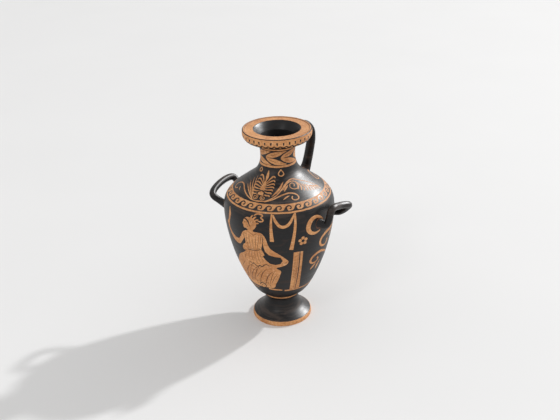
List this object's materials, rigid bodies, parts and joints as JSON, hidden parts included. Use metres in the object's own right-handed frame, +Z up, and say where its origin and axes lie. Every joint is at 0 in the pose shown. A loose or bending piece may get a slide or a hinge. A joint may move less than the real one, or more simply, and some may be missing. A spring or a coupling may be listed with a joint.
{
  "type": "hydria",
  "caption": "Ancient red-figure water jar of fired clay with a disc foot, high round shoulder, narrow neck, flat rim, side handles and an upright back handle.",
  "frame": {"origin": "where the jar's upright axis meets the surface that the foot stands on", "axes": "+Z up along the jar's axis, -Y towards the front between the side handles, +X towards the right handle"},
  "size_m": [0.2186, 0.1656, 0.31],
  "materials": {
    "painted_clay": "glossy black slip with reserved orange clay figures, ornament and lines"
  },
  "bodies": {
    "root": {"hydria": "painted_clay"}
  },
  "joints": []
}
